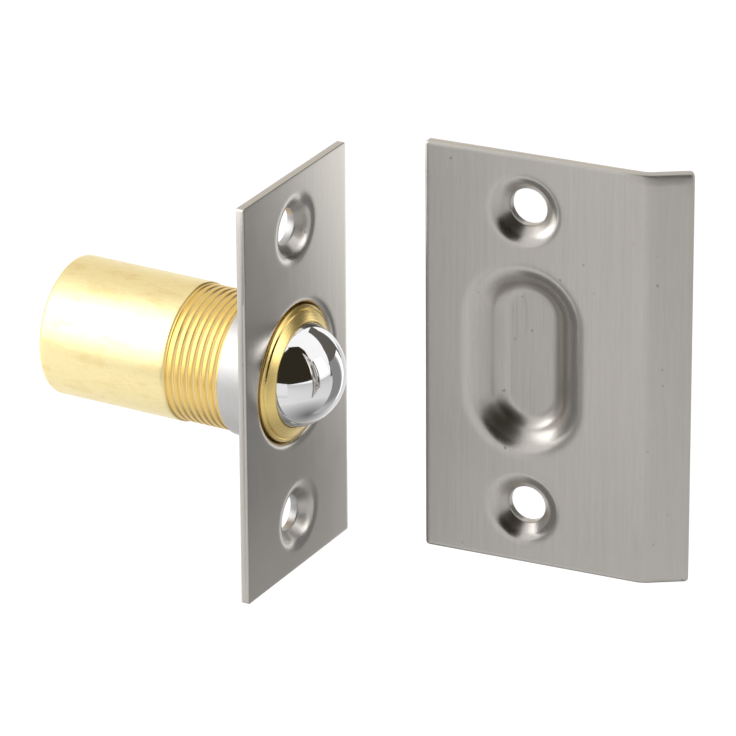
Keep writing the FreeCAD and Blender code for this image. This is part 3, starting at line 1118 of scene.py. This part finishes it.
@dataclass
class Ball:
    """The ball."""

    columns: int = 128
    rows: int = 96

    def build(self, finish: Material) -> Item:
        """Builds the ball of a finish."""
        profile = [(BALL_AT - BALL_R * math.cos(a), BALL_R * math.sin(a)) for a in steps(180, self.rows)]
        return lathe(profile, self.columns).piece("ball_dressed", finish)


def disc(front: float, rear: float, radius: float, bevel: float) -> list[Point2]:
    """Section of a disc's bevelled rim, from front to rear."""
    return [(front, radius - bevel), (front + bevel, radius), (rear - bevel, radius), (rear, radius - bevel)]


@dataclass
class BallSeat:
    """Cupped seat behind the ball, with a stem that centres the spring."""

    play: float = 0.05
    radius: float = 7.02
    bevel: float = 0.08
    stem: float = 4.0
    tip: float = 11.5
    tip_bevel: float = 0.2

    def build(self, finish: Material) -> Item:
        """Builds the seat.

        Args:
            finish: Its material.

        Returns:
            The dressed piece.
        """
        cup = BALL_R + self.play
        rim = math.degrees(math.asin(math.sqrt(cup ** 2 - (SEAT_FRONT - BALL_AT) ** 2) / cup))
        profile = [(BALL_AT + cup * math.cos(a), cup * math.sin(a)) for a in steps(rim, 20)]
        profile += disc(SEAT_FRONT, SEAT_REAR, self.radius, self.bevel)
        profile += [(SEAT_REAR, self.stem), (self.tip - self.tip_bevel, self.stem)]
        profile += [(self.tip, self.stem - self.tip_bevel), (self.tip, 0.0)]
        return lathe(profile, 96).piece("ball_seat_dressed", finish, sharp=30.0)


@dataclass
class RearPlug:
    """Plug in the barrel's rear, with a short stem that centres the spring."""

    radius: float = 7.57
    bevel: float = 0.08
    stem: float = 4.0
    stem_long: float = 1.5
    stem_bevel: float = 0.15

    def build(self, finish: Material) -> Item:
        """Builds the plug.

        Args:
            finish: Its material.

        Returns:
            The dressed piece.
        """
        tip = PLUG_FRONT - self.stem_long
        profile = [(tip, 0.0), (tip, self.stem - self.stem_bevel), (tip + self.stem_bevel, self.stem)]
        profile += [(PLUG_FRONT, self.stem)] + disc(PLUG_FRONT, PLUG_REAR, self.radius, self.bevel)
        return lathe(profile + [(PLUG_REAR, 0.0)], 96).piece("rear_plug_dressed", finish, sharp=30.0)


@dataclass
class Spring:
    """Compression spring between seat and plug."""

    wire: float = 0.6
    coil: float = 5.3
    turns: int = 6
    per_turn: int = 40
    around: int = 16

    def build(self, finish: Material) -> Item:
        """Builds the spring.

        Args:
            finish: Its material.

        Returns:
            The dressed piece.
        """
        draft = Draft()
        count = self.turns * self.per_turn
        rise = PLUG_FRONT - SEAT_REAR - 2 * self.wire
        loops = []
        for step in range(count + 1):
            angle = TURN * self.turns * step / count
            along = SEAT_REAR + self.wire + rise * step / count
            ring = arc((self.coil, along), self.wire, 0.0, 360.0, self.around)[:-1]
            loops.append(draft.loop([(out * math.sin(angle), y, out * math.cos(angle)) for out, y in ring]))
        draft.skin(loops)
        draft.cap(loops[0])
        draft.cap(loops[-1])
        return draft.piece("spring_dressed", finish)


# ---------------------------------------------------------------- studio


@dataclass(frozen=True)
class Ramp:
    """A change of a card's grey, in millimetres along a way or out from a spot."""

    way: Point3
    start: float
    end: float
    gain: float
    power: float = 1.0
    spot: bool = False

    def along(self, x: Value, y: Value, z: Value) -> Value:
        """How far along the ramp's way, or from its spot, a point of the card lies.

        Args:
            x: The point's x.
            y: Its y.
            z: Its z.

        Returns:
            The distance.
        """
        if self.spot:
            return length([place - middle for place, middle in zip((x, y, z), self.way)])
        return x * self.way[0] + y * self.way[1] + z * self.way[2]


@dataclass(frozen=True)
class Card:
    """A sheet that glows by itself in a grey and is seen only in reflections in metal: its glow paints the
    highlights and dark bands that the metal reflects.
    """

    name: str
    corners: tuple[Point3, ...]
    grey: float
    ramps: tuple[Ramp, ...] = ()
    tint: Point3 = (1.0, 1.0, 1.0)

    def glow(self, shader: Shader) -> Colour:
        """The card's light, even or changing along its ramps.

        Args:
            shader: The card's nodes.

        Returns:
            The colour.
        """
        if not self.ramps:
            return rgba(self.tint, self.grey)
        _, *place = shader.place()
        grey = self.grey
        for ramp in self.ramps:
            grey = grey + ramp.along(*place).between(ramp.start, ramp.end, False) ** ramp.power * ramp.gain
        return shader.scaled(self.tint, grey)

    def hang(self) -> None:
        """Hangs the card, hidden from the camera, from diffuse light and from shadows, so that only
        reflections show its glow.
        """
        draft = Draft()
        hub = draft.loop([tuple(sum(axis) / len(self.corners) for axis in zip(*self.corners))])[0]
        rim = draft.loop(self.corners)
        draft.faces = [(hub, here, there) for here, there in zip(rim, rim[1:] + rim[:1])]
        shader = Shader(self.name)
        card = draft.piece(self.name, shader.paper(grey=0.0, roughness=1.0, gloss=0.0, glow=self.glow(shader)))
        card.visible_camera = card.visible_diffuse = card.visible_shadow = False
        card.visible_transmission = False


def seen(reach: float, *corners: Point2) -> tuple[Point3, ...]:
    """Points round the ball.

    Args:
        reach: How far from the ball they lie.
        corners: Azimuth from +X and height of each, in degrees.

    Returns:
        The points.
    """
    turned = [(math.radians(azimuth), math.radians(height)) for azimuth, height in corners]
    return tuple(
        (reach * math.cos(h) * math.cos(a), reach * math.cos(h) * math.sin(a), reach * math.sin(h))
        for a, h in turned
    )


def upright(along: float, *corners: Point2) -> tuple[Point3, ...]:
    """Points of an upright plane across the barrel's axis, each given by its x and z."""
    return tuple((x, along, z) for x, z in corners)


def round_card(centre: Point3, radius: float, count: int) -> tuple[Point3, ...]:
    """Points of a level circle."""
    return tuple((x, y, centre[2]) for x, y in arc(centre[:2], radius, 0.0, 360.0, count)[:-1])


DISH_SIDE = ((-13.0, 14.0), (-44.0, 14.0), (-62.0, -40.0), (-84.0, -93.0), (-13.0, -93.0))
# Middle of a dark disc on the floor: a painted shadow of the catch, which only reflections show.
PAINTED_SHADOW_AT = (6.0, -34.0, -94.0)
ROOM_AT = ((176, -4), (161, 68), (-94, 73), (-91, 60), (-99, 35), (-98, 7), (-105, 3), (-134, 1))
SIDE_AT = ((-64, -6), (-55, 16), (-44, 32), (-24, 42), (-4, 47), (10, 24), (1, 22), (-3, 10), (-12, -6))


@dataclass
class Studio:
    """Camera, lamps, floor, surround, and glowing cards that only reflections show."""

    focal: float = 6277.8
    frame: float = 736.0
    eye: Point3 = (-625.16, -362.67, 323.87)
    yaw: float = 60.731
    pitch: float = 24.093
    roll: float = -0.313
    floor_at: float = -95.0
    floor_reach: float = 2500.0
    floor_shown: float = 0.56
    floor_near: float = 0.25
    floor_gain: float = 0.36
    floor_far: Point2 = (-30.0, 180.0)
    ambient: float = 0.6
    lamps: tuple[tuple[str, Point3, float, float], ...] = (
        ("key", (-60.0, 300.0, 640.0), 600.0, 3.0),
        ("fill", (-500.0, 300.0, 180.0), 400.0, 0.7),
    )
    cards: tuple[Card, ...] = (
        Card("room_card", seen(1400.0, *ROOM_AT), 0.025, tint=(1.15, 0.95, 0.6)),
        Card("side_card", seen(900.0, *SIDE_AT), 0.11, tint=(1.05, 0.98, 0.88)),
        Card(
            "plate_card",
            upright(-36.7, (18.0, -95.0), (118.0, -95.0), (118.0, 12.0), (18.0, 12.0)),
            0.25,
            (
                Ramp((0.908, 0.0, 0.363), 41.4, 66.9, 1.3, 2.0),
                Ramp((-0.2, 0.0, -1.0), 34.0, 52.0, 0.2),
            ),
        ),
        Card(
            "strike_card",
            ((-153.0, -60.0, -160.0), (-170.0, 110.0, -160.0), (-170.0, 110.0, 0.0), (-153.0, -60.0, 0.0)),
            0.38,
            (
                Ramp((0.096, -0.995, 0.0), -46.0, -22.0, 0.43, 0.5),
                Ramp((0.0, 0.0, -1.0), 62.0, 92.0, -0.16),
            ),
        ),
        Card("dish_card", upright(0.0, *DISH_SIDE), 0.22),
        Card("dish_card_back", upright(0.4, *DISH_SIDE), 0.9),
        # Painted shadow: a dark disc under the catch that lightens outwards, seen only in reflections.
        Card("painted_shadow_card", round_card(PAINTED_SHADOW_AT, 95.0, 18), 0.15, (Ramp(PAINTED_SHADOW_AT, 0.0, 94.0, 0.57, spot=True),)),
        Card(
            "soft_card",
            ((-69.0, 97.0, -22.0), (-105.0, 37.0, -22.0), (-31.0, -7.0, 100.0), (5.0, 52.0, 100.0)),
            3.2,
            (Ramp((-50.0, 45.0, 39.0), 5.0, 70.0, -2.2, spot=True),),
        ),
        Card("bright_card", seen(850.0, (-87, 3), (-87, 36), (-67, 30), (-67, 3)), 2.4),
        Card("back_card", seen(900.0, (18, 12), (72, 12), (72, 60), (18, 60)), 0.82, tint=(1.05, 1.0, 0.9)),
    )

    def camera(self) -> None:
        """Sets the camera where the photograph was taken from."""
        data = bpy.data.cameras.new("camera")
        data.lens = self.focal / self.frame * data.sensor_width
        data.clip_start, data.clip_end = 0.01, 100.0
        camera = bpy.data.objects.new("camera", data)
        bpy.context.collection.objects.link(camera)
        yaw, pitch, roll = (math.radians(angle) for angle in (self.yaw, self.pitch, self.roll))
        level = Matrix(
            ((1, 0, 0), (0, -math.sin(pitch), -math.cos(pitch)), (0, math.cos(pitch), -math.sin(pitch)))
        )
        look = level @ Matrix.Rotation(roll, 3, "Y") @ Matrix.Rotation(yaw, 3, "Z")
        flip = Matrix(((1, 0, 0), (0, -1, 0), (0, 0, -1)))
        camera.matrix_world = Matrix.Translation(Vector(self.eye) * MM) @ (look.transposed() @ flip).to_4x4()
        bpy.context.scene.camera = camera

    def lamp(self, name: str, eye: Point3, size: float, watts: float) -> None:
        """Adds a square soft box that looks at the catch.

        Args:
            name: Its name.
            eye: Its place in millimetres.
            size: Its side in millimetres.
            watts: Its power.
        """
        data = bpy.data.lights.new(name, "AREA")
        data.size = size * MM
        data.energy = watts
        lamp = bpy.data.objects.new(name, data)
        lamp.visible_glossy = False
        lamp.location = Vector(eye) * MM
        lamp.rotation_euler = (-Vector(eye)).to_track_quat("-Z", "Y").to_euler()
        bpy.context.collection.objects.link(lamp)

    def surround(self) -> None:
        """Sets a white background, seen by the camera and by metal, and plain light elsewhere."""
        world = bpy.data.worlds.new("surround")
        bpy.context.scene.world = world
        world.use_nodes = True
        nodes = Nodes(world.node_tree)
        camera, glossy, through = nodes.rays("Camera", "Glossy", "Transmission")
        white = (camera + glossy + through).between(0.0, 1.0, False)
        strength = white * (1.0 - self.ambient) + self.ambient
        inputs = {"Color": (1.0, 1.0, 1.0, 1.0), "Strength": strength}
        background = nodes.node("ShaderNodeBackground", {}, inputs)
        nodes.node("ShaderNodeOutputWorld", {}, {0: background.outputs[0]})

    def floor(self) -> None:
        """Lays the pale floor, well below the catch, which keeps the catch's soft shadow."""
        draft, reach = Draft(), self.floor_reach
        sides = ((-reach, -reach), (reach, -reach), (reach, reach), (-reach, reach))
        draft.cap(draft.loop([(x, y, self.floor_at) for x, y in sides]))
        shader = Shader("pale_floor")
        camera, glossy = shader.rays("Camera", "Glossy")
        _, _, away, _ = shader.place()
        behind = self.floor_near + away.between(*self.floor_far) * self.floor_gain
        shown = shader.scaled((1.0, 1.0, 1.0), camera * self.floor_shown + glossy * behind)
        draft.piece("pale_floor", shader.paper(grey=0.5, roughness=0.9, gloss=0.1, glow=shown))

    def build(self) -> None:
        """Builds the studio."""
        bpy.context.scene.view_settings.view_transform = "Standard"
        self.camera()
        self.surround()
        self.floor()
        for card in self.cards:
            card.hang()
        for lamp in self.lamps:
            self.lamp(*lamp)


# ---------------------------------------------------------------- assembly


def seat(piece: Item, body: Body, node: str) -> None:
    """Puts a dressed piece in place of its CAD node.

    Args:
        piece: The dressed piece.
        body: The body it rides on.
        node: The CAD node it stands for.
    """
    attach(piece, body.value)
    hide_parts(node)
    LOG.info("%s rides on %s: %d faces", piece.name, body.value, len(piece.data.polygons))


def main() -> None:
    """Builds the studio and dresses every piece."""
    logging.basicConfig(level=logging.INFO, format="%(message)s")
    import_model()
    Studio().build()
    nickel = SatinNickel().make()
    brass = TurnedBrass().make()
    plug = BarePart("plug_brass", (0.80, 0.62, 0.30)).make()
    wire = BarePart("spring_wire", (0.45, 0.45, 0.46), 0.35).make()
    seat(Faceplate().build(nickel), Body.PLATES, "faceplate")
    seat(StrikePlate().build(nickel), Body.PLATES, "strike_plate")
    seat(Barrel().build(brass), Body.BARREL, "barrel")
    seat(RearPlug().build(plug), Body.BARREL, "rear_plug")
    seat(Ball().build(PolishedSteel().make()), Body.BALL, "ball")
    seat(BallSeat().build(plug), Body.SEAT, "ball_seat")
    spring = Spring().build(wire)
    seat(spring, Body.CARRIER, "spring")
    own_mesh(spring)
    bpy.context.view_layer.update()


if __name__ == "__main__":
    main()
